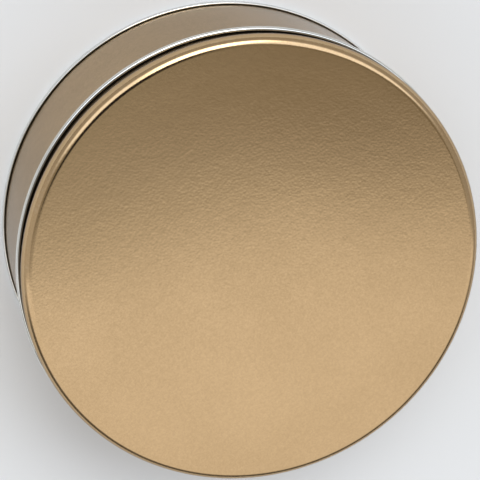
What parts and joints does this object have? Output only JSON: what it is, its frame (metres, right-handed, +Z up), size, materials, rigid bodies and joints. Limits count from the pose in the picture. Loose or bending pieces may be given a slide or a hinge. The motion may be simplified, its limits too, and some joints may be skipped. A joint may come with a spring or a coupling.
{
  "type": "cookie tin",
  "caption": "Round slip-lid cookie tin in gold lacquered tinplate, with a flat top, a rounded shoulder, a curled hem and a double-seamed base.",
  "frame": {"origin": "centre of the ring that the tin stands on, at the lowest point of the base's double seam", "axes": "+Z up along the tin's axis, from the base to the lid; the body's folded side seam is at +Y"},
  "size_m": [0.21, 0.21, 0.076],
  "materials": {
    "gold_lacquer": "satin gold lacquer with a fine grain over tinplate",
    "tinplate": "bright tinplate with faint rolling lines",
    "compound": "matte"
  },
  "bodies": {
    "tin_body": {"body_wall": "gold_lacquer", "base_end": "tinplate", "seam_compound": "compound"},
    "tin_lid": {"lid": "gold_lacquer"}
  },
  "joints": [
    {"name": "lid_lift", "type": "slide", "parent": "tin_body", "child": "tin_lid", "axis": [0, 0, 1], "range_m": [0, 0.12]}
  ]
}
